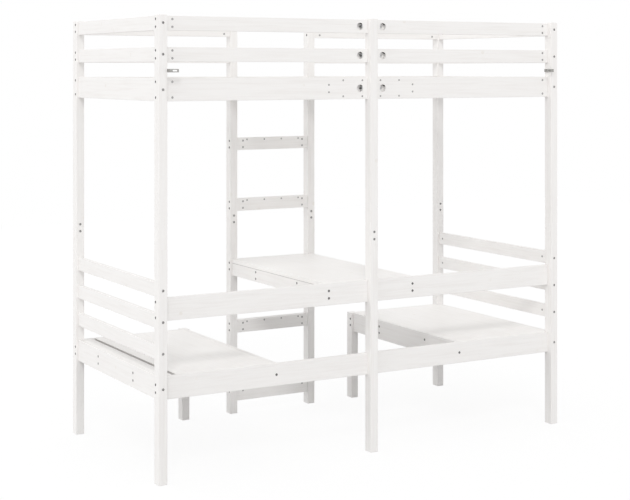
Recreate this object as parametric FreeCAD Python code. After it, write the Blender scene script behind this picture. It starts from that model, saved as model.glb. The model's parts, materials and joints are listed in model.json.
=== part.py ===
import FreeCAD
import Part
import os

# Bunk bed with a ladder, two bench seats and a table below the bunk.
# Millimetres, +Z up, X along the length. The wall side is -Y and the ladder side is +Y.
# The origin is on the floor, in the middle of the overall box.

# Overall frame
length = 2060.0
width = 986.0
half_height = 954.0            # each upright is two such halves, one on the other
height = 2 * half_height

# Sections of the timber
post_x = 38.0
post_y = 46.0
board = 18.0                   # thickness of every board
narrow = 60.0                  # height of the narrow boards
wide = 95.0                    # height of the wide boards
rail_setback = 24.0            # outer face of a side rail, in from the face of the posts

# Heights of the boards
top_guard_drop = 3.5           # from the top of the posts to the top guard board
narrow_pitch = 128.0           # between the centres of two narrow boards
wide_pitch = 144.0             # between the centres of a narrow board and a wide one
seat_rail_z = 388.0
table_top_z = 755.5
step_top_z = 155.5             # top of the lowest rung
rung_pitch = 298.5
rung_count = 5

# Places along the length, from the middle
ladder_x = 218.0               # ladder uprights, table side rails and bunk cross beams
seat_leg_x = 476.0             # seat legs and the inner side rails of the seats

# Seats and table
seat_beam_y = 200.0
table_beam_y = 200.0
panel_gap = 1.0                # round the seat panels, and round a post in a panel's edge
seat_strip = 50.0              # loose strip beside the end rail of the left seat
seat_slot = 18.0               # open slot between that strip and the panel
table_overhang = 9.0           # past the centre line of the side rails

# Bunk base
slat_count = 15
slat_width = 70.0
slat_thick = 12.0
slat_end_gap = 1.0
first_slat = 55.0              # from the end rail to the centre of the first slat
ledger_height = 30.0
splice_length = 380.0

# Drilled seats of the connector bolts, and of the barrel nuts that they draw up.
# A side board has two bolts at each end and an end board has one.
drill_sides = 8                # flats round a drilled hole, few because it repeats so often
bolt_seat_r = 5.5
post_seat_depth = 10.0
board_seat_depth = 5.0
nut_seat_r = 5.0
nut_seat_depth = 14.0
nut_seat_in = 32.5             # from the end of the board
narrow_bolts = 16.0            # half the distance between the two bolts of a narrow board
wide_bolts = 32.0              # the same on the wide bunk and table rails

# Rods that draw the upper rails against the centre post
pocket_r = 16.0
pocket_depth = 15.0
pocket_in = 40.0               # centre of the pocket, from the end of the rail
rod_r = 3.0
rod_clearance = 0.25
rod_past_nut = 3.0
plate_sagitta = 5.0            # thickness of the half-moon plate in the middle
plate_clearance = 0.2
nut_corner_r = 5.8
nut_thick = 5.0

# Loose tenons inside the uprights, where the halves meet
tenon_x = 16.0
tenon_y = 22.0
tenon_length = 90.0
tenon_clearance = 0.2

# Angle brackets that fix the bunk to the wall
bracket_below_guard = 36.5     # from the middle guard board down to the bracket's centre line
bracket_height = 14.0
bracket_thick = 3.0
bracket_reach = 20.0           # from the face of the posts to the wall
bracket_leg = 42.0             # length of the leg along the wall
bracket_slot_length = 22.0
bracket_slot_width = 6.5
bracket_slot_edge = 6.0        # from the end of the slot to the end of the leg
bracket_hole_r = 2.5
bracket_hole_pitch = 26.0

# Positions worked out from the sizes above
middle_y = bracket_reach / 2                 # middle of the timber frame
wall_face = middle_y - width / 2             # outer face of the posts on the wall side
room_face = middle_y + width / 2
wall_inner = wall_face + post_y
room_inner = room_face - post_y
wall_rail_y = wall_face + rail_setback + board / 2
room_rail_y = room_face - rail_setback - board / 2
wall_rail_inner = wall_rail_y + board / 2
room_rail_inner = room_rail_y - board / 2
corner_x = (length - post_x) / 2             # centre of a corner post
corner_inner = corner_x - post_x / 2
end_rail_inner = corner_x - board / 2
guard_top_z = height - top_guard_drop - narrow / 2
guard_mid_z = guard_top_z - narrow_pitch
bunk_rail_z = guard_mid_z - wide_pitch
bracket_z = guard_mid_z - narrow / 2 - bracket_below_guard
low_end_z = [seat_rail_z + wide_pitch + i * narrow_pitch for i in range(3)]
table_rail_z = table_top_z - wide / 2
table_side_z = table_top_z - board - narrow / 2
seat_top_z = seat_rail_z + wide / 2
seat_beam_z = seat_top_z - board - narrow / 2
rung_tops = [step_top_z + i * rung_pitch for i in range(rung_count)]
ledger_top_z = bunk_rail_z + wide / 2 - board
bunk_beam_z = ledger_top_z - narrow / 2
seat_side_in = seat_leg_x + board / 2        # outer face of the inner side rail
bracket_inner = corner_inner - bracket_thick # inner face of the leg on the post

X = FreeCAD.Vector(1, 0, 0)
Y = FreeCAD.Vector(0, 1, 0)
Z = FreeCAD.Vector(0, 0, 1)
nodes = {}


def span(x0, x1, y0, y1, z0, z1):
    """Box between two corners."""
    low = FreeCAD.Vector(min(x0, x1), min(y0, y1), min(z0, z1))
    return Part.makeBox(abs(x1 - x0), abs(y1 - y0), abs(z1 - z0), low)


def along_x(x0, x1, y, z, tall, thick=board):
    """Board that runs along X, standing on edge, centred on y and z."""
    return span(x0, x1, y - thick / 2, y + thick / 2, z - tall / 2, z + tall / 2)


def along_y(x, y0, y1, z, tall, thick=board):
    """Board that runs along Y, standing on edge, centred on x and z."""
    return span(x - thick / 2, x + thick / 2, y0, y1, z - tall / 2, z + tall / 2)


def rod(radius, start, axis, reach):
    return Part.makeCylinder(radius, reach, FreeCAD.Vector(*start), axis)


def add(name, *solids):
    nodes[name] = solids


def prism(sides, radius, start, axis, depth):
    """Prism on an axis, with a regular outline."""
    centre = FreeCAD.Vector(*start)
    turns = [FreeCAD.Rotation(axis, 360 / sides * (i + 0.5)) for i in range(sides)]
    points = [centre + turn.multVec(Z * radius) for turn in turns]
    return Part.Face(Part.makePolygon(points + points[:1])).extrude(axis * depth)


def x_seats(face_x, side, y, levels, depth=post_seat_depth):
    """Bolt seats sunk into a face that looks along side (+1 or -1) in X."""
    return [prism(drill_sides, bolt_seat_r, (face_x, y, z), X * -side, depth) for z in levels]


def y_seats(x, face_y, side, levels, depth=post_seat_depth):
    """Bolt seats sunk into a face that looks along side (+1 or -1) in Y."""
    return [prism(drill_sides, bolt_seat_r, (x, face_y, z), Y * -side, depth) for z in levels]


def nut_seats_x(end_x, side, y, levels, turn=1):
    """Barrel nut seats near the end of a board that runs from end_x along side.

    They are in its wall-side face, or with turn -1 in its room-side face.
    """
    x = end_x + side * nut_seat_in
    face = y - turn * board / 2
    return [prism(drill_sides, nut_seat_r, (x, face, z), Y * turn, nut_seat_depth) for z in levels]


def nut_seats_y(x, side, z):
    """Barrel nut seats in the inner face of an end board, one near each end."""
    face = x - side * board / 2
    places = (wall_inner + nut_seat_in, room_inner - nut_seat_in)
    return [prism(drill_sides, nut_seat_r, (face, y, z), X * side, nut_seat_depth) for y in places]


def pair(z, apart=narrow_bolts):
    return [z - apart, z + apart]


guard_pairs = pair(guard_top_z) + pair(guard_mid_z)
bunk_pairs = pair(bunk_rail_z, wide_bolts)
joint_pair = pair(half_height)
end_levels = [guard_top_z, guard_mid_z, bunk_rail_z, seat_rail_z] + low_end_z


def upright(name, x, y_low, holes):
    """Upright in two halves, with its bolt holes and the mortises of its loose tenon."""
    whole = span(x - post_x / 2, x + post_x / 2, y_low, y_low + post_y, 0, height)
    mid_y = y_low + post_y / 2
    mortise = tenon(x, mid_y, tenon_clearance)
    whole = whole.cut(holes + [mortise])
    split = span(-length, length, -width, width, 0, half_height)
    add(name + "_lower", whole.common(split))
    add(name + "_upper", whole.cut(split))


def tenon(x, y, clearance):
    half_x = tenon_x / 2 + clearance
    half_y = tenon_y / 2 + clearance
    half_z = tenon_length / 2
    return span(x - half_x, x + half_x, y - half_y, y + half_y, half_height - half_z, half_height + half_z)


def uprights():
    side_holes = guard_pairs + bunk_pairs + pair(seat_rail_z)
    wall_holes = side_holes + pair(table_rail_z, wide_bolts)
    for side, end in ((-1, "left"), (1, "right")):
        x = side * corner_x
        outer = side * length / 2
        holes = x_seats(outer, side, wall_rail_y, wall_holes)
        holes += y_seats(x, wall_face, -1, end_levels)
        holes += y_seats(x, wall_inner, 1, joint_pair)
        upright("wall_post_" + end, x, wall_face, holes)
        holes = x_seats(outer, side, room_rail_y, side_holes)
        holes += y_seats(x, room_face, 1, end_levels)
        holes += y_seats(x, room_inner, -1, joint_pair)
        upright("room_post_" + end, x, room_inner, holes)
        ladder_upright(side, end)
    holes = y_seats(0, wall_face, -1, joint_pair)
    for z in (guard_top_z, guard_mid_z, bunk_rail_z):
        holes.append(rod(rod_r + rod_clearance, (-post_x / 2, wall_rail_y, z), X, post_x))
    upright("wall_post_centre", 0, wall_face, holes)


def ladder_upright(side, end):
    """Ladder upright: rungs bolt on from outside, and the guard boards from inside."""
    x = side * ladder_x
    outer = x + side * post_x / 2
    inner = x - side * post_x / 2
    rung_levels = [step_top_z - wide / 2]
    for top in rung_tops[1:]:
        rung_levels += pair(top - narrow / 2)
    holes = x_seats(outer, side, room_rail_y, rung_levels)
    holes += x_seats(inner, -side, room_rail_y, guard_pairs)
    holes += y_seats(x, room_inner, -1, joint_pair)
    holes += y_seats(x, room_face, 1, pair(table_side_z) + pair(bunk_beam_z))
    upright("ladder_post_" + end, x, room_inner, holes)


def seat_legs():
    legs = []
    for side in (-1, 1):
        x = side * seat_leg_x
        inner = x - side * post_x / 2
        leg = span(x - post_x / 2, x + post_x / 2, room_inner, room_face, 0, seat_top_z)
        holes = x_seats(inner, -side, room_rail_y, pair(seat_rail_z))
        holes += y_seats(x, room_face, 1, pair(seat_rail_z))
        legs.append(leg.cut(holes))
    add("seat_legs", *legs)


def post_tenons():
    places = [(0, wall_face)]
    for side in (-1, 1):
        places += [(side * corner_x, wall_face), (side * corner_x, room_inner)]
        places.append((side * ladder_x, room_inner))
    add("post_tenons", *[tenon(x, y + post_y / 2, 0) for x, y in places])


def pocket(side, z):
    """Round pocket in the outer face of a wall rail, beside the centre post."""
    x = side * (post_x / 2 + pocket_in)
    return rod(pocket_r, (x, wall_rail_y - board / 2, z), Y, pocket_depth)


def rod_bore(side, z):
    reach = pocket_in
    start = (side * post_x / 2, wall_rail_y, z)
    return rod(rod_r + rod_clearance, start, X * side, reach)


def wall_rails():
    """Each wall rail is two halves that meet the centre post."""
    for side, end in ((-1, "left"), (1, "right")):
        near = side * post_x / 2
        far = side * corner_inner

        def rail(turn, z, tall, levels, *cuts):
            seats = nut_seats_x(far, -side, wall_rail_y, levels, turn)
            return along_x(near, far, wall_rail_y, z, tall).cut(seats + list(cuts))

        def drawn(z, tall, levels, *cuts):
            return rail(1, z, tall, levels, pocket(side, z), rod_bore(side, z), *cuts)

        face = wall_rail_y - board / 2
        table_seats = y_seats(side * ladder_x, face, -1, pair(table_side_z), board_seat_depth)
        leg_seats = y_seats(side * seat_leg_x, face, -1, [seat_rail_z], board_seat_depth)
        guards = [drawn(z, narrow, pair(z)) for z in (guard_top_z, guard_mid_z)]
        add("wall_guards_" + end, *guards)
        add("wall_bunk_rail_" + end, drawn(bunk_rail_z, wide, bunk_pairs))
        table_pairs = pair(table_rail_z, wide_bolts)
        add("wall_table_rail_" + end, rail(-1, table_rail_z, wide, table_pairs, *table_seats))
        add("wall_seat_rail_" + end, rail(-1, seat_rail_z, wide, pair(seat_rail_z), *leg_seats))


def end_rails():
    for side, end in ((-1, "left"), (1, "right")):
        x = side * corner_x

        def cross(z, tall):
            return along_y(x, wall_inner, room_inner, z, tall).cut(nut_seats_y(x, side, z))

        add("end_guards_" + end, cross(guard_top_z, narrow), cross(guard_mid_z, narrow))
        add("end_bunk_rail_" + end, cross(bunk_rail_z, wide))
        add("end_low_rails_" + end, *[cross(z, narrow) for z in low_end_z])
        outer = x + side * board / 2
        seats = beam_seats(outer, side, seat_beam_y, seat_beam_z)
        add("end_seat_rail_" + end, cross(seat_rail_z, wide).cut(seats))


def beam_seats(face_x, side, beam_y, z):
    """Seats of the bolts into the two beams under a seat or the table."""
    seats = []
    for y in (middle_y - beam_y, middle_y + beam_y):
        seats += x_seats(face_x, side, y, pair(z), board_seat_depth)
    return seats


def room_rails():
    """The guards stop at the ladder, which leaves the way in open above the bunk rail."""
    for side, end in ((-1, "left"), (1, "right")):
        far = side * corner_inner
        ladder = side * (ladder_x + post_x / 2)
        leg = side * (seat_leg_x + post_x / 2)

        def rail(near, z, tall, levels):
            seats = nut_seats_x(far, -side, room_rail_y, levels)
            seats += nut_seats_x(near, side, room_rail_y, levels)
            return along_x(near, far, room_rail_y, z, tall).cut(seats)

        guards = [rail(ladder, z, narrow, pair(z)) for z in (guard_top_z, guard_mid_z)]
        add("room_guards_" + end, *guards)
        add("room_bunk_rail_" + end, rail(ladder, bunk_rail_z, wide, bunk_pairs))
        add("room_seat_rail_" + end, rail(leg, seat_rail_z, wide, pair(seat_rail_z)))
    inner = ladder_x - post_x / 2
    add("room_bunk_rail_middle", along_x(-inner, inner, room_rail_y, bunk_rail_z, wide))


def ladder():
    """A rung is a board on edge. All but the lowest carry a tread, flush with the uprights."""
    inner = ladder_x - post_x / 2

    def rung(z, tall, levels):
        seats = nut_seats_x(-inner, 1, room_rail_y, levels) + nut_seats_x(inner, -1, room_rail_y, levels)
        return along_x(-inner, inner, room_rail_y, z, tall).cut(seats)

    step_z = step_top_z - wide / 2
    add("ladder_step", rung(step_z, wide, [step_z]))
    outer_y = room_rail_y + board / 2
    rungs = []
    treads = []
    for top in rung_tops[1:]:
        z = top - narrow / 2
        rungs.append(rung(z, narrow, pair(z)))
        treads.append(span(-inner, inner, outer_y, room_face, top - board, top))
    add("ladder_rungs", *rungs)
    add("ladder_treads", *treads)


def table():
    sides = []
    beams = []
    face = ladder_x - board / 2
    for side in (-1, 1):
        rail = along_y(side * ladder_x, wall_rail_inner, room_inner, table_side_z, narrow)
        outer = side * (ladder_x + board / 2)
        sides.append(rail.cut(beam_seats(outer, side, table_beam_y, table_side_z)))
        beams.append(along_x(-face, face, middle_y + side * table_beam_y, table_side_z, narrow))
    edge = ladder_x + table_overhang
    top = span(-edge, edge, wall_rail_inner, room_inner, table_top_z - board, table_top_z)
    add("table_side_rails", *sides)
    add("table_beams", *beams)
    add("table_top", top.cut(post_cut(0, wall_face)))


def post_cut(x, y_low):
    """Room for an upright in the edge of a panel, with the gap left all round."""
    half = post_x / 2 + panel_gap
    return span(x - half, x + half, y_low - panel_gap, y_low + post_y + panel_gap, 0, height)


def corner_cuts():
    """Corner posts and legs that the seat panels are notched round."""
    cuts = []
    for side in (-1, 1):
        cuts += [post_cut(side * corner_x, wall_face), post_cut(side * corner_x, room_inner)]
        cuts.append(post_cut(side * seat_leg_x, room_inner))
    return cuts


def seats():
    low = wall_rail_inner + panel_gap
    high = room_rail_inner - panel_gap
    end = end_rail_inner - panel_gap
    side = seat_side_in + panel_gap
    strip = end_rail_inner - seat_strip
    panel_end = strip - seat_slot
    cuts = corner_cuts()

    def panel(x0, x1):
        return span(x0, x1, low, high, seat_top_z - board, seat_top_z).cut(cuts)

    add("seat_strip_left", panel(-end, -strip))
    add("seat_panel_left", panel(-panel_end, -side))
    add("seat_panel_right", panel(side, end))
    beams = []
    for turn, name in ((-1, "left"), (1, "right")):
        x = turn * seat_leg_x
        rail = along_y(x, wall_rail_inner, room_inner, seat_rail_z, wide)
        seats = beam_seats(x - turn * board / 2, -turn, seat_beam_y, seat_beam_z)
        add("seat_side_rail_" + name, rail.cut(seats))
        ends = (turn * seat_side_in, turn * end_rail_inner)
        for y in (middle_y - seat_beam_y, middle_y + seat_beam_y):
            beams.append(along_x(*ends, y, seat_beam_z, narrow))
    add("seat_beams", *beams)


def bunk_base():
    """Cross beams, ledgers along both rails and the slats that lie on them."""
    beams = [along_y(s * ladder_x, wall_rail_inner, room_inner, bunk_beam_z, narrow) for s in (-1, 1)]
    add("bunk_cross_beams", *beams)
    half = splice_length / 2
    splice = along_x(-half, half, wall_rail_inner + board / 2, bunk_rail_z, wide)
    add("bunk_splice_board", splice.cut(span(-post_x / 2, post_x / 2, wall_face, wall_inner, 0, height)))
    add("bunk_ledgers", *ledgers())
    outer = end_rail_inner - first_slat
    pitch = 2 * outer / (slat_count - 1)
    low = wall_rail_inner + board + slat_end_gap
    high = room_rail_inner - board - slat_end_gap
    slat_top_z = ledger_top_z + slat_thick
    slats = []
    for i in range(slat_count):
        x = -outer + i * pitch
        slats.append(span(x - slat_width / 2, x + slat_width / 2, low, high, ledger_top_z, slat_top_z))
    add("bunk_slats", *slats)


def ledgers():
    """Ledgers stand two boards out from the rails, and one out from the splice board."""
    low = ledger_top_z - ledger_height
    beam_face = ladder_x + board / 2
    room_deep = room_rail_inner - 2 * board
    wall_deep = wall_rail_inner + 2 * board
    inner = ladder_x - board / 2
    parts = []
    for side in (-1, 1):
        ends = (side * beam_face, side * corner_inner)
        parts.append(span(*ends, wall_rail_inner, wall_deep, low, ledger_top_z))
        ends = (side * (ladder_x + post_x / 2), side * corner_inner)
        parts.append(span(*ends, room_deep, room_rail_inner, low, ledger_top_z))
    parts.append(span(-inner, inner, wall_rail_inner + board, wall_deep, low, ledger_top_z))
    between = ladder_x - post_x / 2
    parts.append(span(-between, between, room_deep, room_rail_inner, low, ledger_top_z))
    return parts


def centre_rods():
    """Rods through the centre post, with a half-moon plate and a nut in each pocket."""
    rods = []
    plates = []
    nuts = []
    pocket_x = post_x / 2 + pocket_in
    plate_r = pocket_r - plate_clearance
    plate_flat = pocket_x - plate_r + plate_sagitta
    reach = plate_flat + nut_thick + rod_past_nut
    bore = rod_r + rod_clearance
    floor_y = wall_rail_y - board / 2 + pocket_depth
    for z in (guard_top_z, guard_mid_z, bunk_rail_z):
        rods.append(rod(rod_r, (-reach, wall_rail_y, z), X, 2 * reach))
        for side in (-1, 1):
            disc = rod(plate_r, (side * pocket_x, floor_y, z), -Y, pocket_depth - plate_clearance)
            keep = span(side * plate_flat, side * (pocket_x - plate_r), wall_face, room_face, 0, height)
            hole = rod(bore, (0, wall_rail_y, z), X * side, reach)
            gap = span(0, side * reach, wall_rail_y - bore, floor_y, z - bore, z + bore)
            plates.append(disc.common(keep).cut(gap))
            start = (side * plate_flat, wall_rail_y, z)
            nuts.append(prism(6, nut_corner_r, start, X * side, nut_thick).cut(hole))
    add("centre_rods", *rods)
    add("half_moon_plates", *plates)
    add("rod_nuts", *nuts)


def wall_brackets():
    """Angle bracket on the inner face of each wall corner post, slotted for the wall screw."""
    wall_y = wall_face - bracket_reach
    low = bracket_z - bracket_height / 2
    high = bracket_z + bracket_height / 2
    for side, end in ((-1, "left"), (1, "right")):
        face = side * corner_inner
        inner = side * bracket_inner
        tip = side * (corner_inner - bracket_leg)
        post_leg = span(face, inner, wall_y, wall_inner, low, high)
        wall_leg = span(face, tip, wall_y, wall_y + bracket_thick, low, high)
        slot_near = side * (corner_inner - bracket_leg + bracket_slot_edge + bracket_slot_width / 2)
        slot_far = slot_near + side * (bracket_slot_length - bracket_slot_width)
        holes = [slot(slot_near, slot_far, wall_y)]
        mid = wall_face + post_y / 2
        for y in (mid - bracket_hole_pitch / 2, mid + bracket_hole_pitch / 2):
            start = (inner, y, bracket_z)
            holes.append(prism(drill_sides, bracket_hole_r, start, X * side, bracket_thick))
        add("wall_bracket_" + end, post_leg.fuse(wall_leg).removeSplitter().cut(holes))


def slot(x0, x1, wall_y):
    """Slot with round ends, through the leg on the wall."""
    r = bracket_slot_width / 2
    body = span(x0, x1, wall_y, wall_y + bracket_thick, bracket_z - r, bracket_z + r)
    ends = [rod(r, (x, wall_y, bracket_z), Y, bracket_thick) for x in (x0, x1)]
    return body.fuse(ends).removeSplitter()


def write_parts():
    os.makedirs("parts", exist_ok=True)
    for name, solids in nodes.items():
        pieces = [piece for shape in solids for piece in shape.Solids]
        shape = pieces[0] if len(pieces) == 1 else Part.makeCompound(pieces)
        shape.exportStep(f"parts/{name}.step")
    print(len(nodes), "nodes,", sum(len(s.Solids) for group in nodes.values() for s in group), "solids")


uprights()
seat_legs()
post_tenons()
wall_rails()
end_rails()
room_rails()
ladder()
table()
seats()
bunk_base()
centre_rods()
wall_brackets()
write_parts()
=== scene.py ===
import json
import math
import random

import bmesh
import bpy
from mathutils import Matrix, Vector


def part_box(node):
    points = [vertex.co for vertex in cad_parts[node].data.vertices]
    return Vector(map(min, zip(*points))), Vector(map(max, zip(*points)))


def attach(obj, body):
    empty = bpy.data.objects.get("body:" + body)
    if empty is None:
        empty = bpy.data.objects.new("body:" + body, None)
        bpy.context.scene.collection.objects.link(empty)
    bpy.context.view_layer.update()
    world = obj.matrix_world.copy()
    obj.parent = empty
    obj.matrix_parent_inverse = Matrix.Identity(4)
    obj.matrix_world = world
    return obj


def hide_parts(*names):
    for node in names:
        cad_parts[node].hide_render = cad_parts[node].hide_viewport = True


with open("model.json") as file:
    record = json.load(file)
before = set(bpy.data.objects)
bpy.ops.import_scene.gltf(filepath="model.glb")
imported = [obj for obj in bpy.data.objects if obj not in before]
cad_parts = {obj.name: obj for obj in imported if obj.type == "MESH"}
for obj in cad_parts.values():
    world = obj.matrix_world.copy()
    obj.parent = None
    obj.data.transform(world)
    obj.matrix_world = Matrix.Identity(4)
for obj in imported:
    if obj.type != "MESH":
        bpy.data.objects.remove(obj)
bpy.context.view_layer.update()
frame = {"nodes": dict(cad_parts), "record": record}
nodes = frame["nodes"]
mm = 0.001
axisNames = "xyz"
touch = 0.001 * mm   # two places closer than this are the same

# The eye looks level, and a shift of the picture stands in for a tilt
view = {"place": (-3.3612, -5.7955, 1.6834), "turn": -29.94, "lens": 81.54, "sensor": 36.0, "shift": -0.286}
# The floor throws back less light than it shows, which keeps the shaded sides deep
studio = {"ambient": 0.82, "floorHalf": 9.0, "floorSeen": 0.98, "floorBounce": 0.60, "shadowKept": 0.10}
# Each lamp stands at a bearing from +X and a height above the floor, in degrees
lamps = {"key": {"energy": 0.765, "bearing": 240, "height": 41, "spread": 14},
         "lowFill": {"energy": 0.56, "bearing": 184, "height": 16, "spread": 36},
         "frontFill": {"energy": 0.28, "bearing": 262, "height": 10, "spread": 50},
         "backFill": {"energy": 0.24, "bearing": 118, "height": 38, "spread": 34}}


def makeCamera():
    camera = bpy.data.cameras.new("camera")
    camera.sensor_width = view["sensor"]
    camera.lens = view["lens"]
    camera.shift_y = view["shift"]
    camera.clip_end = 60
    eye = bpy.data.objects.new("camera", camera)
    eye.location = view["place"]
    eye.rotation_euler = (math.radians(90), 0, math.radians(view["turn"]))
    bpy.context.collection.objects.link(eye)
    bpy.context.scene.camera = eye


def seenDirectly(tree):
    # 1 on rays from the camera, in reflections and through glass, 0 on light that bounces
    path = tree.nodes.new("ShaderNodeLightPath")
    both = addMath(tree, "MAXIMUM", path.outputs["Is Camera Ray"], path.outputs["Is Glossy Ray"])
    return addMath(tree, "MAXIMUM", both, path.outputs["Is Transmission Ray"])


def makeStudio():
    world = bpy.data.worlds.new("studio")
    bpy.context.scene.world = world
    world.use_nodes = True
    tree = world.node_tree
    background = tree.nodes["Background"]
    background.inputs["Color"].default_value = (1, 1, 1, 1)
    strength = mixFloat(tree, seenDirectly(tree), studio["ambient"], 1.0)
    tree.links.new(strength, background.inputs["Strength"])
    for name, setting in lamps.items():
        lamp = bpy.data.lights.new(name, "SUN")
        lamp.energy = setting["energy"]
        lamp.angle = math.radians(setting["spread"])
        stand = bpy.data.objects.new(name, lamp)
        stand.rotation_euler = (0, math.radians(90 - setting["height"]), math.radians(setting["bearing"]))
        bpy.context.collection.objects.link(stand)


def makeFloor():
    half = studio["floorHalf"]
    mesh = bpy.data.meshes.new("floor")
    outline = [(-half, -half, 0), (half, -half, 0), (half, half, 0), (-half, half, 0)]
    mesh.from_pydata(outline, [], [(0, 1, 2, 3)])
    floor = bpy.data.objects.new("floor", mesh)
    bpy.context.collection.objects.link(floor)
    paper = bpy.data.materials.new("floorPaper")
    paper.use_nodes = True
    tree = paper.node_tree
    tree.nodes.clear()
    matt = tree.nodes.new("ShaderNodeBsdfDiffuse")
    seen = seenDirectly(tree)
    tone = mixFloat(tree, seen, studio["floorBounce"], studio["floorSeen"])
    tree.links.new(tone, matt.inputs["Color"])
    glow = tree.nodes.new("ShaderNodeEmission")
    blend = tree.nodes.new("ShaderNodeMixShader")
    out = tree.nodes.new("ShaderNodeOutputMaterial")
    shown = addMath(tree, "MULTIPLY", seen, 1 - studio["shadowKept"])
    tree.links.new(shown, blend.inputs["Fac"])
    tree.links.new(matt.outputs[0], blend.inputs[1])
    tree.links.new(glow.outputs[0], blend.inputs[2])
    tree.links.new(blend.outputs[0], out.inputs["Surface"])
    mesh.materials.append(paper)


def addMath(tree, operation, first, second=None):
    node = tree.nodes.new("ShaderNodeMath")
    node.operation = operation
    for socket, value in zip(node.inputs, (first, second)):
        plug(tree, socket, value)
    return node.outputs[0]


def weighted(tree, first, *others):
    # Sum of several values, each given with its share
    total = addMath(tree, "MULTIPLY", *first)
    for item in others:
        total = addMath(tree, "ADD", total, addMath(tree, "MULTIPLY", *item))
    return total


def addVector(tree, operation, first, second=None):
    node = tree.nodes.new("ShaderNodeVectorMath")
    node.operation = operation
    plug(tree, node.inputs[0], first)
    if operation == "SCALE":
        plug(tree, node.inputs["Scale"], second)
    else:
        plug(tree, node.inputs[1], second)
    return node.outputs["Value" if operation == "LENGTH" else "Vector"]


def plug(tree, socket, value):
    if isinstance(value, bpy.types.NodeSocket):
        tree.links.new(value, socket)
    elif value is not None:
        socket.default_value = value


def mixFloat(tree, factor, low, high):
    node = tree.nodes.new("ShaderNodeMix")
    for name, value in (("Factor", factor), ("A", low), ("B", high)):
        plug(tree, node.inputs[name], value)
    return node.outputs["Result"]


def mixColour(tree, factor, low, high):
    node = tree.nodes.new("ShaderNodeMix")
    node.data_type = "RGBA"
    for index, value in ((0, factor), (6, low), (7, high)):
        plug(tree, node.inputs[index], value)
    return node.outputs[2]


def ramp(tree, value, fromLow, fromHigh, toLow=0.0, toHigh=1.0, smooth=False):
    node = tree.nodes.new("ShaderNodeMapRange")
    node.interpolation_type = "SMOOTHSTEP" if smooth else "LINEAR"
    for name, item in (("Value", value), ("From Min", fromLow), ("From Max", fromHigh),
                       ("To Min", toLow), ("To Max", toHigh)):
        plug(tree, node.inputs[name], item)
    return node.outputs["Result"]


def noise(tree, vector, scale, detail=2.0, rough=0.5):
    node = tree.nodes.new("ShaderNodeTexNoise")
    tree.links.new(vector, node.inputs["Vector"])
    node.inputs["Scale"].default_value = scale
    node.inputs["Detail"].default_value = detail
    node.inputs["Roughness"].default_value = rough
    return node


def drawnOut(tree, vector, along, scale, detail, rough=0.5):
    # Noise stretched along the grain
    stretched = addVector(tree, "MULTIPLY", vector, (along, 1, 1))
    return noise(tree, stretched, scale, detail, rough).outputs["Fac"]


def centred(tree, colour, reach):
    # A random colour as an offset either way from nothing
    return addVector(tree, "SCALE", addVector(tree, "SUBTRACT", colour, (0.5, 0.5, 0.5)), reach)


def attribute(tree, name, output):
    node = tree.nodes.new("ShaderNodeAttribute")
    node.attribute_name = name
    return node.outputs[output]


def newGroup(name, values, outputs):
    # Every group takes a position, and may take plain values after it
    tree = bpy.data.node_groups.new(name, "ShaderNodeTree")
    tree.interface.new_socket("Position", in_out="INPUT", socket_type="NodeSocketVector")
    for label in values:
        tree.interface.new_socket(label, in_out="INPUT", socket_type="NodeSocketFloat")
    for label in outputs:
        tree.interface.new_socket(label, in_out="OUTPUT", socket_type="NodeSocketFloat")
    return tree, tree.nodes.new("NodeGroupInput").outputs, tree.nodes.new("NodeGroupOutput").inputs


def placeGroup(tree, group, **values):
    node = tree.nodes.new("ShaderNodeGroup")
    node.node_tree = group
    for name, value in values.items():
        plug(tree, node.inputs[name], value)
    return node.outputs


# Lengths in metres. Scales are cells per metre across the grain, and a length below 1 draws them out along it
pine = {"pithReach": 0.085, "drift": 0.022, "driftScale": 1.3, "waver": 0.0016, "knotScale": 6.5,
        "knotCore": 0.045, "knotEdge": 0.075, "swirl": 0.006, "swirlReach": 4, "boardSpread": 40.0,
        "waverLength": 0.12, "waverScale": 34.0, "ringSharpness": 2.6, "fibreLength": 0.014,
        "fibreScale": 620.0, "streakLength": 0.05, "streakScale": 95.0}


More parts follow.
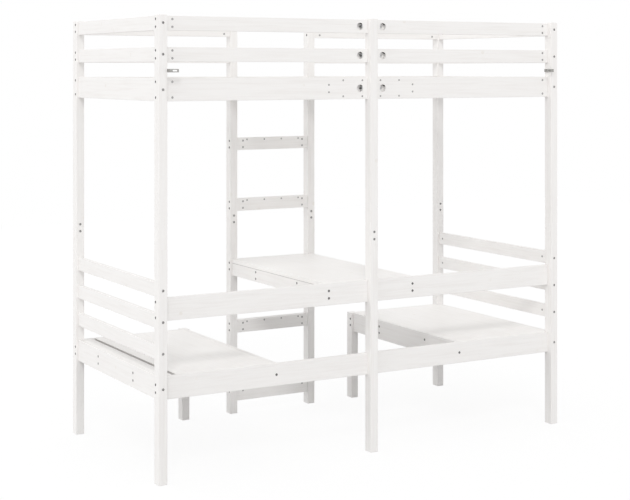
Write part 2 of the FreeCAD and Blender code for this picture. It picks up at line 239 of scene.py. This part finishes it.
def makePineFigure():
    # Growth rings round a pith line that runs along X, with fibres and knots, for one board
    tree, given, out = newGroup("pineFigure", ("Seed", "RingPitch"), ("Rings", "Fibre", "Knots", "Streaks"))
    scatter = tree.nodes.new("ShaderNodeTexWhiteNoise")
    scatter.noise_dimensions = "1D"
    tree.links.new(given["Seed"], scatter.inputs["W"])
    shift = addVector(tree, "SCALE", scatter.outputs["Color"], pine["boardSpread"])
    spot = addVector(tree, "ADD", given["Position"], shift)
    knotCells = tree.nodes.new("ShaderNodeTexVoronoi")
    knotCells.inputs["Scale"].default_value = pine["knotScale"]
    tree.links.new(spot, knotCells.inputs["Vector"])
    distance = knotCells.outputs["Distance"]
    tree.links.new(ramp(tree, distance, pine["knotCore"], pine["knotEdge"], 1.0, 0.0, True), out["Knots"])
    swirl = ramp(tree, distance, 0.0, pine["swirlReach"] * pine["knotEdge"], pine["swirl"], 0.0, True)
    along = addVector(tree, "MULTIPLY", spot, (1, 0, 0))
    drift = centred(tree, noise(tree, along, pine["driftScale"], detail=1.0).outputs["Color"], pine["drift"])
    pith = centred(tree, scatter.outputs["Color"], pine["pithReach"])
    across = addVector(tree, "ADD", addVector(tree, "ADD", given["Position"], pith), drift)
    radius = addVector(tree, "LENGTH", addVector(tree, "MULTIPLY", across, (0, 1, 1)))
    waver = drawnOut(tree, spot, pine["waverLength"], pine["waverScale"], detail=3.0)
    waver = addMath(tree, "MULTIPLY", waver, pine["waver"])
    radius = addMath(tree, "ADD", addMath(tree, "ADD", radius, waver), swirl)
    turns = addMath(tree, "DIVIDE", addMath(tree, "MULTIPLY", radius, math.tau), given["RingPitch"])
    wave = ramp(tree, addMath(tree, "SINE", turns), -1.0, 1.0)
    tree.links.new(addMath(tree, "POWER", wave, pine["ringSharpness"]), out["Rings"])
    fibre = drawnOut(tree, spot, pine["fibreLength"], pine["fibreScale"], detail=4.0, rough=0.6)
    tree.links.new(fibre, out["Fibre"])
    streaks = drawnOut(tree, spot, pine["streakLength"], pine["streakScale"], detail=3.0, rough=0.55)
    tree.links.new(streaks, out["Streaks"])
    return tree


rolled = {"stippleScale": 520.0, "stippleShare": 0.6, "sagScale": 45.0, "sagShare": 0.4, "cloudScale": 7.0}


def makeFilm():
    # The skin of rolled paint: a fine stipple over slow sags, and a cloud for where it is thick
    tree, given, out = newGroup("paintFilm", (), ("Stipple", "Cloud"))
    spot = given["Position"]
    stipple = noise(tree, spot, rolled["stippleScale"]).outputs["Fac"]
    sag = noise(tree, spot, rolled["sagScale"]).outputs["Fac"]
    height = weighted(tree, (stipple, rolled["stippleShare"]), (sag, rolled["sagShare"]))
    tree.links.new(height, out["Stipple"])
    tree.links.new(noise(tree, spot, rolled["cloudScale"], detail=3.0).outputs["Fac"], out["Cloud"])
    return tree


# Brings the grain onto X
grainTurns = {"x": (0, 0, 0), "y": (0, 0, -math.pi / 2), "z": (0, math.pi / 2, 0)}


def boardPosition(tree, axis):
    # Place on the board from its own middle, with the grain along X
    place = tree.nodes.new("ShaderNodeTexCoord").outputs["Object"]
    local = addVector(tree, "SUBTRACT", place, attribute(tree, "boardCentre", "Vector"))
    turn = tree.nodes.new("ShaderNodeMapping")
    turn.inputs["Rotation"].default_value = grainTurns[axis]
    tree.links.new(local, turn.inputs["Vector"])
    return place, turn.outputs["Vector"]


def newMaterial(name):
    material = bpy.data.materials.new(name)
    material.use_nodes = True
    tree = material.node_tree
    return material, tree, tree.nodes["Principled BSDF"]


def addBump(tree, shader, height, distance, strength):
    bump = tree.nodes.new("ShaderNodeBump")
    bump.inputs["Distance"].default_value = distance
    bump.inputs["Strength"].default_value = strength
    tree.links.new(height, bump.inputs["Height"])
    tree.links.new(bump.outputs["Normal"], shader.inputs["Normal"])


# A tint is how far the base colour moves towards that mark. The seam colour is painted shade, laid on the
# arrises that close a joint and on the walls of the seat slot
whitePaint = {"colour": (0.882, 0.867, 0.854, 1), "ghost": (0.80, 0.775, 0.745, 1), "ghostTint": 0.22,
              "streak": (0.76, 0.725, 0.70, 1), "streakTint": 0.34,
              "knot": (0.72, 0.67, 0.60, 1), "knotTint": 0.34,
              "rub": (0.78, 0.765, 0.735, 1), "rubTint": 0.3,
              "seam": (0.40, 0.385, 0.37, 1), "jointShadeTint": 0.62,
              "gloss": (0.36, 0.52), "ringPitch": 0.0034, "relief": 0.00022}
thinPaint = dict(whitePaint, colour=(0.83, 0.82, 0.80, 1), ghost=(0.66, 0.60, 0.52, 1), ghostTint=0.42,
                 knotTint=0.6)
# The panels take a whiter copy of the white paint: painted light, standing in for the brighter light on the
# tops
brightenedPanelPaint = dict(whitePaint, colour=(0.914, 0.899, 0.884, 1), streakTint=0.24)
# Bore walls are unpainted wood in a dark neutral grey, which also paints shade into the holes
drilledWoodAndShade = dict(whitePaint, colour=(0.24, 0.23, 0.22, 1), ghost=(0.18, 0.17, 0.16, 1), ghostTint=0.5,
                   streakTint=0)
pocketWood = dict(drilledWoodAndShade, colour=(0.87, 0.855, 0.84, 1), ghost=(0.74, 0.72, 0.69, 1))
# Painted shade: the dark roof of each round pocket, in place of the shadow under its top edge
shadedWood = dict(drilledWoodAndShade, colour=(0.11, 0.105, 0.10, 1), ghost=(0.08, 0.076, 0.072, 1))
# Where each effect starts and ends on the noise that carries it, and its share of the relief
coverage = {"ghost": (0.35, 0.7, 0.4, 1.0), "streak": (0.44, 0.70), "rub": (0.42, 0.62), "gloss": (0.3, 0.7),
            "stippleRelief": 0.5, "fibreRelief": 0.3, "ringRelief": 0.35, "bump": 0.6}


def makePaintedPine(name, axis, finish):
    material, tree, shader = newMaterial(name + axis.upper())
    place, local = boardPosition(tree, axis)
    figure = placeGroup(tree, pineFigure, Position=local, Seed=attribute(tree, "boardSeed", "Fac"),
                        RingPitch=finish["ringPitch"])
    film = placeGroup(tree, paintFilm, Position=place)
    # The edge mark is 1 on a rubbed arris, and 2 where painted shade darkens an arris that closes a joint or
    # a wall of the seat slot
    edge = attribute(tree, "edgeMark", "Fac")
    thin = ramp(tree, film["Cloud"], *coverage["ghost"])
    worn = ramp(tree, film["Cloud"], *coverage["rub"])
    masks = {"ghost": addMath(tree, "MULTIPLY", figure["Rings"], thin),
             "streak": ramp(tree, figure["Streaks"], *coverage["streak"]),
             "knot": figure["Knots"],
             "rub": addMath(tree, "MULTIPLY", ramp(tree, edge, 0, 1), worn)}
    colour = finish["colour"]
    for mark, mask in masks.items():
        strength = addMath(tree, "MULTIPLY", mask, finish[mark + "Tint"])
        colour = mixColour(tree, strength, colour, finish[mark])
    # Painted shade: the seam colour darkens arrises that close a joint and the walls of the seat slot
    colour = mixColour(tree, ramp(tree, edge, 1, 2, 0, finish["jointShadeTint"]), colour, finish["seam"])
    tree.links.new(colour, shader.inputs["Base Color"])
    gloss = ramp(tree, film["Cloud"], *coverage["gloss"], *finish["gloss"])
    tree.links.new(gloss, shader.inputs["Roughness"])
    height = weighted(tree, (film["Stipple"], coverage["stippleRelief"]),
                      (figure["Fibre"], coverage["fibreRelief"]), (figure["Rings"], coverage["ringRelief"]))
    addBump(tree, shader, height, finish["relief"], coverage["bump"])
    return material


barePine = {"early": (0.70, 0.50, 0.29, 1), "late": (0.50, 0.29, 0.13, 1), "lateSpan": (0.2, 0.8, 0.45, 0.9),
            "knot": (0.24, 0.11, 0.045, 1), "knotTint": 0.85, "ringPitch": 0.0036,
            "gloss": (0.55, 0.70), "glossSpan": (0.25, 0.75),
            "relief": 0.00030, "fibreRelief": 0.6, "ringRelief": 0.4, "bump": 0.7}


def makeBarePine(axis):
    finish = barePine
    material, tree, shader = newMaterial("barePine" + axis.upper())
    local = boardPosition(tree, axis)[1]
    figure = placeGroup(tree, pineFigure, Position=local, Seed=attribute(tree, "boardSeed", "Fac"),
                        RingPitch=finish["ringPitch"])
    tone = addMath(tree, "MULTIPLY", figure["Rings"], ramp(tree, figure["Fibre"], *finish["lateSpan"]))
    colour = mixColour(tree, tone, finish["early"], finish["late"])
    knotty = addMath(tree, "MULTIPLY", figure["Knots"], finish["knotTint"])
    tree.links.new(mixColour(tree, knotty, colour, finish["knot"]), shader.inputs["Base Color"])
    gloss = ramp(tree, figure["Fibre"], *finish["glossSpan"], *finish["gloss"])
    tree.links.new(gloss, shader.inputs["Roughness"])
    height = weighted(tree, (figure["Fibre"], finish["fibreRelief"]), (figure["Rings"], finish["ringRelief"]))
    addBump(tree, shader, height, finish["relief"], finish["bump"])
    return material


zinc = {"colour": (0.74, 0.745, 0.75, 1), "stain": (0.55, 0.55, 0.55, 1), "gloss": (0.30, 0.50)}
darkZinc = {"colour": (0.28, 0.278, 0.275, 1), "stain": (0.14, 0.138, 0.135, 1), "gloss": (0.35, 0.55)}
greyZinc = {"colour": (0.48, 0.475, 0.47, 1), "stain": (0.32, 0.315, 0.31, 1), "gloss": (0.32, 0.5)}
bracketZinc = {"colour": (0.44, 0.435, 0.42, 1), "stain": (0.31, 0.30, 0.285, 1), "gloss": (0.38, 0.58)}
plating = {"spotScale": 240.0, "stainSpan": (0.42, 0.68), "glossSpan": (0.3, 0.7), "relief": 0.00008,
           "bump": 0.5}


def makeMetal(name, finish):
    material, tree, shader = newMaterial(name)
    place = tree.nodes.new("ShaderNodeTexCoord").outputs["Object"]
    film = placeGroup(tree, paintFilm, Position=place)
    spots = noise(tree, place, plating["spotScale"], detail=4.0, rough=0.65).outputs["Fac"]
    stained = ramp(tree, spots, *plating["stainSpan"])
    tree.links.new(mixColour(tree, stained, finish["colour"], finish["stain"]), shader.inputs["Base Color"])
    gloss = ramp(tree, spots, *plating["glossSpan"], *finish["gloss"])
    tree.links.new(gloss, shader.inputs["Roughness"])
    shader.inputs["Metallic"].default_value = 1.0
    addBump(tree, shader, film["Stipple"], plating["relief"], plating["bump"])
    return material


def onEachAxis(name, finish):
    return {axis: makePaintedPine(name, axis, finish) for axis in axisNames}


pineFigure = makePineFigure()
paintFilm = makeFilm()
paintedPine = onEachAxis("whitePaintedPine", whitePaint)
paintedPanel = onEachAxis("whitePaintedPanel", brightenedPanelPaint)
thinPaintedPine = onEachAxis("thinPaintedPine", thinPaint)
drilledPineAndShade = onEachAxis("drilledPineAndShade", drilledWoodAndShade)
pocketPine = onEachAxis("pocketPine", pocketWood)
pocketPaintedShade = onEachAxis("pocketPaintedShadePine", shadedWood)
bareWood = {axis: makeBarePine(axis) for axis in axisNames}
zincPlate = makeMetal("brightZinc", zinc)
darkPlate = makeMetal("darkZinc", darkZinc)
greyPlate = makeMetal("greyZinc", greyZinc)
stripSteel = makeMetal("bracketSteel", bracketZinc)
print("materials made")

weld = {"gap": 0.002 * mm, "flatAngle": 0.5}
eased = {"post": 1.8 * mm, "board": 1.4 * mm, "segments": 3, "shortest": 3 * mm, "seam": 954 * mm,
         "seamReach": 0.01 * mm}
# The area of a seat's floor, in square metres, and its corners tell bolt seats from round pockets
drilled = {"seatArea": (60e-6, 95e-6), "seatCorners": 8, "pocketArea": (700e-6, 900e-6), "pocketCorners": 12,
           "roundness": 1.05, "sides": 28, "pocketSides": 56, "grow": 1.02, "pocketGrow": 0.05 * mm,
           "under": 0.02 * mm, "over": 1 * mm, "roofRise": 0.4, "nutDepth": 12 * mm, "flatDot": 0.9999,
           "sharpAngle": 35}
# Skins of a cut: the bore walls, the painted shade on a pocket's roof, and the white paint of the rest of a
# pocket
skinOrder = {"bore": 0, "roof": 1, "pocket": 2}
countersink = {"mouth": 4.2 * mm, "throat": 2.6 * mm, "depth": 1.6 * mm}
steelNodes = {"wall_bracket_left": stripSteel, "wall_bracket_right": stripSteel, "centre_rods": darkPlate,
              "half_moon_plates": zincPlate, "rod_nuts": darkPlate}
# Nodes of several boards, whose grain doesn't follow the longest side of the node
grainOf = {"bunk_slats": "y", "ladder_treads": "x", "ladder_rungs": "x", "seat_beams": "x",
           "table_beams": "x", "seat_legs": "z", "post_tenons": "z"}
# The facing edges of these two close an open slot, and get painted shade on their walls
shadedSlotNodes = ("seat_strip_left", "seat_panel_left")
woodsOf = {"bare_timber": bareWood, "base_timber": thinPaintedPine, "painted_panel": paintedPanel}


def mergedCopy(node):
    # CAD meshes are loose triangles: weld them and take out the lines across flat faces
    work = bmesh.new()
    work.from_mesh(nodes[node].data)
    bmesh.ops.remove_doubles(work, verts=work.verts, dist=weld["gap"])
    bmesh.ops.dissolve_limit(work, angle_limit=math.radians(weld["flatAngle"]), verts=work.verts,
                             edges=work.edges)
    return work


def isRound(face):
    centre = face.calc_center_bounds()
    reach = [(vert.co - centre).length for vert in face.verts]
    return max(reach) < drilled["roundness"] * min(reach)


def findSeats(work, areas, least):
    # A drilled seat shows as a small flat floor with at least that many sides, and walls round it
    seats = []
    low, high = areas
    for face in work.faces:
        if len(face.verts) >= least and low < face.calc_area() < high and isRound(face):
            centre = face.calc_center_bounds()
            corner = face.verts[0]
            walls = [edge.other_vert(corner).co - corner.co for edge in corner.link_edges]
            depth = max(abs(wall.dot(face.normal)) for wall in walls)
            seats.append({"floor": centre, "axis": face.normal.copy(), "depth": depth,
                          "radius": (corner.co - centre).length})
    return seats


def addTube(work, base, axis, length, lowRadius, highRadius, sides, roofSkin="bore", floorSkin="bore"):
    # Closed round cutter from base along axis, with a skin for the roof of the hole, which is painted shade
    # in the pockets, and one for the rest
    turn = axis.to_track_quat("Z", "Y").to_matrix().to_4x4()
    turn.translation = base + axis * (length / 2)
    made = bmesh.ops.create_cone(work, cap_ends=True, segments=sides, radius1=lowRadius, radius2=highRadius,
                                 depth=length, matrix=turn)
    for face in {face for vert in made["verts"] for face in vert.link_faces}:
        middle = face.calc_center_median()
        onFloor = middle.dot(axis) < base.dot(axis) + touch
        # The upper part of a pocket's wall takes the roof skin, painted shade
        isRoof = middle.z > base.z + drilled["roofRise"] * lowRadius and not onFloor
        face.material_index = skinOrder[roofSkin if isRoof else floorSkin]


def addSeatTube(work, seat, radius, sides, *skins):
    base = seat["floor"] - seat["axis"] * drilled["under"]
    addTube(work, base, seat["axis"], seat["depth"] + drilled["over"], radius, radius, sides, *skins)


def cutRound(mesh, seats, pockets, sinks, skins):
    # Opens each drilled seat out to a true circle, and sinks the wood screws
    cutter = bmesh.new()
    for seat in seats:
        addSeatTube(cutter, seat, seat["radius"] * drilled["grow"], drilled["sides"])
    for seat in pockets:
        radius = seat["radius"] + drilled["pocketGrow"]
        addSeatTube(cutter, seat, radius, drilled["pocketSides"], "roof", "pocket")
    slope = (countersink["mouth"] - countersink["throat"]) / countersink["depth"]
    for place, axis in sinks:
        base = place - axis * countersink["depth"]
        addTube(cutter, base, axis, countersink["depth"] + drilled["over"], countersink["throat"],
                countersink["mouth"] + slope * drilled["over"], drilled["sides"])
    tool = bpy.data.objects.new("cutter", bpy.data.meshes.new("cutter"))
    cutter.to_mesh(tool.data)
    cutter.free()
    for skin in skins:
        tool.data.materials.append(skin)
    board = bpy.data.objects.new("work", mesh)
    for item in (tool, board):
        bpy.context.collection.objects.link(item)
    cut = board.modifiers.new("cut", "BOOLEAN")
    cut.object = tool
    cut.operation = "DIFFERENCE"
    cut.solver = "MANIFOLD"
    cut.material_mode = "TRANSFER"
    bpy.context.view_layer.update()
    result = bpy.data.meshes.new_from_object(board.evaluated_get(bpy.context.evaluated_depsgraph_get()))
    for item in (tool, board):
        data = item.data
        bpy.data.objects.remove(item)
        bpy.data.meshes.remove(data)
    return result


def islandsOf(work):
    # Separate solids, as lists of vertices
    found = []
    left = set(work.verts)
    for start in work.verts:
        if start not in left:
            continue
        left.remove(start)
        group = [start]
        for vert in group:
            for edge in vert.link_edges:
                other = edge.other_vert(vert)
                if other in left:
                    left.remove(other)
                    group.append(other)
        found.append(group)
    return found


def corners(points):
    low = Vector([min(p[i] for p in points) for i in range(3)])
    high = Vector([max(p[i] for p in points) for i in range(3)])
    return low, high


def outerEdges(work, group):
    # The long arrises of one board: edges that lie on two faces of its box at once
    low, high = corners([vert.co for vert in group])
    members = set(group)
    picked = []
    for edge in work.edges:
        if edge.verts[0] not in members or len(edge.link_faces) != 2:
            continue
        if edge.calc_length() < eased["shortest"]:
            continue
        onFaces = 0
        for i in range(3):
            a, b = edge.verts[0].co[i], edge.verts[1].co[i]
            if abs(a - b) < touch and min(abs(a - low[i]), abs(a - high[i])) < touch:
                onFaces += 1
        onSeam = max(abs(v.co.z - eased["seam"]) for v in edge.verts) < eased["seamReach"]
        if onFaces == 2 and not onSeam:
            picked.append(edge)
    return picked


def easeEdges(work, groups, width, mark, joint):
    # Rounds the arrises over, and marks the new faces so that the paint can thin there
    edges = []
    for group in groups:
        edges += outerEdges(work, group)
    made = bmesh.ops.bevel(work, geom=edges, offset=width, offset_type="OFFSET", segments=eased["segments"],
                           profile=0.5, affect="EDGES", clamp_overlap=False)
    for face in made["faces"]:
        # Bevel faces at the joint height get mark 2, for painted shade in the joint
        inShadedJoint = abs(face.calc_center_median().z - joint) < width
        for loop in face.loops:
            loop[mark] = 2.0 if inShadedJoint else 1.0


def smoothRounds(work):
    # Only the walls of drilled holes are shaded smooth
    for face in work.faces:
        if max(abs(n) for n in face.normal) < drilled["flatDot"] and len(face.verts) == 4:
            face.smooth = True
    for edge in work.edges:
        if len(edge.link_faces) == 2 and edge.calc_face_angle() > math.radians(drilled["sharpAngle"]):
            edge.smooth = False


def grainAxis(node):
    low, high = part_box(node)
    return grainOf.get(node) or axisNames[max(range(3), key=lambda i: high[i] - low[i])]


def shadedJointHeight(node):
    # Height of the face that closes a joint and gets painted shade, or -1 for none
    low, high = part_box(node)
    if slotOf[node] == "painted_panel":
        return low.z
    return high.z if node == "table_side_rails" else -1


def markBoards(work, node):
    # Gives each board its own middle and seed for the grain, and makes the layer of edge marks
    centreLayer = work.verts.layers.float_vector.new("boardCentre")
    seedLayer = work.verts.layers.float.new("boardSeed")
    markLayer = work.loops.layers.float.new("edgeMark")
    groups = islandsOf(work)
    for group in groups:
        low, high = corners([vert.co for vert in group])
        seed = chance.uniform(0, 90)
        for vert in group:
            vert[centreLayer] = (low + high) / 2
            vert[seedLayer] = seed
    # The walls of the slot get mark 2, for painted shade
    if node in shadedSlotNodes:
        for face in work.faces:
            for loop in face.loops:
                loop[markLayer] = 2.0 if abs(face.normal.x) > 0.99 else 0.0
    return groups, markLayer


def makeTimber(node, sinks):
    work = mergedCopy(node)
    seats = findSeats(work, drilled["seatArea"], drilled["seatCorners"])
    pockets = findSeats(work, drilled["pocketArea"], drilled["pocketCorners"])
    mesh = bpy.data.meshes.new(node)
    work.to_mesh(mesh)
    work.free()
    grain = grainAxis(node)
    mesh.materials.append(woodsOf.get(slotOf[node], paintedPine)[grain])
    if seats or pockets or sinks:
        skins = (drilledPineAndShade[grain], pocketPaintedShade[grain], pocketPine[grain])
        mesh = cutRound(mesh, seats, pockets, sinks, skins)
    work = bmesh.new()
    work.from_mesh(mesh)
    groups, markLayer = markBoards(work, node)
    smoothRounds(work)
    width = eased["post"] if "_post_" in node or node == "seat_legs" else eased["board"]
    easeEdges(work, groups, width, markLayer, shadedJointHeight(node))
    work.to_mesh(mesh)
    work.free()
    mesh.name = node + "_timber"
    finishPiece(mesh, node)
    return seats


def finishPiece(mesh, node):
    piece = bpy.data.objects.new(mesh.name, mesh)
    bpy.context.collection.objects.link(piece)
    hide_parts(node)
    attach(piece, "root")


screwRows = {"treadPitch": 96 * mm, "treadCount": 4, "treadDrop": 9 * mm, "spliceIn": (47.3 * mm, 145.5 * mm),
             "spliceHigh": 35 * mm, "beamHigh": 16 * mm, "slatIn": 12 * mm}
toWall = Vector((0, -1, 0))


def boxesOf(node):
    # Corners of each solid of a CAD node, from the lowest to the highest
    work = mergedCopy(node)
    boxes = [corners([vert.co for vert in group]) for group in islandsOf(work)]
    work.free()
    return sorted(boxes, key=lambda box: (round(box[0].z, 4), round(box[0].x, 4)))


def treadScrews():
    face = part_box("ladder_rungs")[0].y
    places = []
    start = -(screwRows["treadCount"] - 1) / 2 * screwRows["treadPitch"]
    for low, high in boxesOf("ladder_treads"):
        for i in range(screwRows["treadCount"]):
            place = Vector((start + i * screwRows["treadPitch"], face, high.z - screwRows["treadDrop"]))
            places.append((place, toWall))
    return places


def spliceScrews(side):
    low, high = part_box("wall_bunk_rail_right")
    middle = (low.z + high.z) / 2
    return [(Vector((side * x, low.y, middle + turn * screwRows["spliceHigh"])), toWall)
            for x in screwRows["spliceIn"] for turn in (-1, 1)]


def beamScrews(side):
    # Through the wall rail into the end of the cross beam behind it
    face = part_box("wall_bunk_rail_right")[0].y
    low, high = boxesOf("bunk_cross_beams")[-1]
    x, z = (low.x + high.x) / 2, (low.z + high.z) / 2
    return [(Vector((side * x, face, z + turn * screwRows["beamHigh"])), toWall) for turn in (-1, 1)]


def slatScrews():
    places = []
    for low, high in boxesOf("bunk_slats"):
        for y in (low.y + screwRows["slatIn"], high.y - screwRows["slatIn"]):
            places.append((Vector(((low.x + high.x) / 2, y, high.z)), Vector((0, 0, 1))))
    return places


sinksOf = {"ladder_rungs": treadScrews(), "wall_bunk_rail_left": spliceScrews(-1) + beamScrews(-1),
           "wall_bunk_rail_right": spliceScrews(1) + beamScrews(1), "bunk_slats": slatScrews()}

chance = random.Random(31)
slotOf = {part["node"]: part["material_slot"] for part in frame["record"]["subparts"]}
boltSeats = []
nutSeats = []
for node in sorted(nodes):
    if node in steelNodes:
        for slot in nodes[node].material_slots:
            slot.material = steelNodes[node]
        continue
    for seat in makeTimber(node, sinksOf.get(node, [])):
        (nutSeats if seat["depth"] > drilled["nutDepth"] else boltSeats).append(seat)
print("timber made,", len(boltSeats), "bolt seats and", len(nutSeats), "barrel nut seats")

# A recess of no sides is a screwdriver slot, and one of four is a cross
boltHead = {"radius": 5.0 * mm, "depth": 4.6 * mm, "taper": 0.9, "sides": 24, "recess": 2.4 * mm,
            "recessSides": 6}
longHead = dict(boltHead, depth=8.6 * mm)
barrelNut = {"radius": 4.9 * mm, "depth": 13.2 * mm, "taper": 0.97, "sides": 24, "recess": 0.8 * mm,
             "recessSides": 0}
screwHead = {"radius": 3.9 * mm, "depth": 1.1 * mm, "taper": 1.0, "sides": 16, "recess": 1.6 * mm,
             "recessSides": 4}
slotBar = {"span": 4.0, "width": 1.5, "height": 2.0}
crossBar = {"span": 2.0, "width": 0.55, "height": 2.0}


def geometryTree(name, shape):
    # Stands a turned head with a driver recess on each point, along the point's axis
    tree = bpy.data.node_groups.new(name, "GeometryNodeTree")
    tree.is_modifier = True
    face = tree.interface
    face.new_socket("Geometry", in_out="INPUT", socket_type="NodeSocketGeometry")
    for label in ("Radius", "Top Radius", "Depth", "Recess"):
        face.new_socket(label, in_out="INPUT", socket_type="NodeSocketFloat")
    face.new_socket("Finish", in_out="INPUT", socket_type="NodeSocketMaterial")
    face.new_socket("Geometry", in_out="OUTPUT", socket_type="NodeSocketGeometry")
    add = tree.nodes.new
    link = tree.links.new
    given = add("NodeGroupInput").outputs
    head = add("GeometryNodeMeshCone")
    head.inputs["Vertices"].default_value = shape["sides"]
    link(given["Top Radius"], head.inputs["Radius Top"])
    link(given["Radius"], head.inputs["Radius Bottom"])
    link(given["Depth"], head.inputs["Depth"])
    cut = add("GeometryNodeMeshBoolean")
    cut.operation = "DIFFERENCE"
    link(head.outputs["Mesh"], cut.inputs["Mesh 1"])
    link(recessShape(tree, given, shape["recessSides"]), cut.inputs["Mesh 2"])
    axis = add("GeometryNodeInputNamedAttribute")
    axis.data_type = "FLOAT_VECTOR"
    axis.inputs["Name"].default_value = "axis"
    align = add("FunctionNodeAlignRotationToVector")
    align.axis = "Z"
    link(axis.outputs["Attribute"], align.inputs["Vector"])
    spin = add("FunctionNodeRandomValue")
    spin.data_type = "FLOAT"
    spin.inputs[3].default_value = math.tau
    spin.inputs["Seed"].default_value = 7
    about = add("FunctionNodeAxisAngleToRotation")
    about.inputs["Axis"].default_value = (0, 0, 1)
    link(spin.outputs[1], about.inputs["Angle"])
    turn = add("FunctionNodeRotateRotation")
    turn.rotation_space = "LOCAL"
    link(align.outputs["Rotation"], turn.inputs["Rotation"])
    link(about.outputs["Rotation"], turn.inputs["Rotate By"])
    place = add("GeometryNodeInstanceOnPoints")
    link(given["Geometry"], place.inputs["Points"])
    link(cut.outputs["Mesh"], place.inputs["Instance"])
    link(turn.outputs["Rotation"], place.inputs["Rotation"])
    real = add("GeometryNodeRealizeInstances")
    link(place.outputs["Instances"], real.inputs["Geometry"])
    paint = add("GeometryNodeSetMaterial")
    link(real.outputs["Geometry"], paint.inputs["Geometry"])
    link(given["Finish"], paint.inputs["Material"])
    link(paint.outputs["Geometry"], add("NodeGroupOutput").inputs["Geometry"])
    return tree


def recessShape(tree, given, recessSides):
    # What the driver's recess takes out of the top of the head
    add = tree.nodes.new
    link = tree.links.new
    lift = add("ShaderNodeCombineXYZ")
    link(given["Depth"], lift.inputs["Z"])
    move = add("GeometryNodeTransform")
    link(lift.outputs["Vector"], move.inputs["Translation"])
    if recessSides == 6:
        socket = add("GeometryNodeMeshCylinder")
        socket.inputs["Vertices"].default_value = recessSides
        link(given["Recess"], socket.inputs["Radius"])
        link(given["Depth"], socket.inputs["Depth"])
        link(socket.outputs["Mesh"], move.inputs["Geometry"])
        return move.outputs["Geometry"]
    isSlot = recessSides == 0
    bar = slotBar if isSlot else crossBar
    span = addMath(tree, "MULTIPLY", given["Radius" if isSlot else "Recess"], bar["span"])
    width = addMath(tree, "MULTIPLY", given["Recess"], bar["width"])
    height = addMath(tree, "MULTIPLY", given["Recess"], bar["height"])
    join = add("GeometryNodeJoinGeometry")
    for sides in ((span, width),) if isSlot else ((span, width), (width, span)):
        size = add("ShaderNodeCombineXYZ")
        for value, socket in zip((*sides, height), size.inputs):
            link(value, socket)
        block = add("GeometryNodeMeshCube")
        link(size.outputs["Vector"], block.inputs["Size"])
        link(block.outputs["Mesh"], join.inputs["Geometry"])
    link(join.outputs["Geometry"], move.inputs["Geometry"])
    return move.outputs["Geometry"]


def makeFasteners(name, points, shape, finish):
    mesh = bpy.data.meshes.new(name)
    mesh.from_pydata([tuple(place) for place, axis in points], [], [])
    axes = mesh.attributes.new("axis", "FLOAT_VECTOR", "POINT")
    for item, (place, axis) in zip(axes.data, points):
        item.vector = axis
    seed = bpy.data.objects.new(name + "Points", mesh)
    bpy.context.collection.objects.link(seed)
    tree = geometryTree(name, shape)
    stand = seed.modifiers.new("stand", "NODES")
    stand.node_group = tree
    values = {"Radius": shape["radius"], "Top Radius": shape["radius"] * shape["taper"],
              "Depth": shape["depth"], "Recess": shape["recess"], "Finish": finish}
    for item in tree.interface.items_tree:
        if item.in_out == "INPUT" and item.name in values:
            stand[item.identifier] = values[item.name]
    bpy.context.view_layer.update()
    solid = bpy.data.meshes.new_from_object(seed.evaluated_get(bpy.context.evaluated_depsgraph_get()))
    solid.name = name
    bpy.data.objects.remove(seed)
    piece = bpy.data.objects.new(name, solid)
    bpy.context.collection.objects.link(piece)
    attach(piece, "root")
    print(name, len(points), "made,", len(solid.polygons), "faces")


bracketFix = {"step": 13 * mm, "thickness": 3 * mm}


def bracketScrews():
    # Two screws through the leg of each wall bracket that lies on the post
    places = []
    postLow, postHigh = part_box("wall_post_right_upper")
    x = postLow.x - bracketFix["thickness"]
    y = (postLow.y + postHigh.y) / 2
    for node, side in (("wall_bracket_left", -1), ("wall_bracket_right", 1)):
        low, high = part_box(node)
        for step in (-bracketFix["step"], bracketFix["step"]):
            places.append((Vector((side * x, y + step, (low.z + high.z) / 2)), Vector((-side, 0, 0))))
    return places


def seatPoints(seats):
    return [(seat["floor"], seat["axis"]) for seat in seats]


sunk = [(place - axis * countersink["depth"], axis) for rows in sinksOf.values() for place, axis in rows]
shortSeats = [seat for seat in boltSeats if seat["depth"] <= longHead["depth"]]
longSeats = [seat for seat in boltSeats if seat["depth"] > longHead["depth"]]
endSeats = [seat for seat in longSeats if abs(seat["axis"].x) > 0.5]
sideSeats = [seat for seat in longSeats if abs(seat["axis"].y) > 0.5]
# Long bolts take dark zinc where they face along X and grey zinc where they face along Y: painted shade and
# light that follow how those faces are lit
fasteners = {"boardBolts": (seatPoints(shortSeats), boltHead, darkPlate),
             "endBolts": (seatPoints(endSeats), longHead, darkPlate),
             "sideBolts": (seatPoints(sideSeats), longHead, greyPlate),
             "barrelNuts": (seatPoints(nutSeats), barrelNut, greyPlate),
             "woodScrews": (sunk + bracketScrews(), screwHead, greyPlate)}
for name, (points, shape, finish) in fasteners.items():
    makeFasteners(name, points, shape, finish)

makeCamera()
makeStudio()
makeFloor()
bpy.context.scene.view_settings.view_transform = "Standard"
print("studio made")
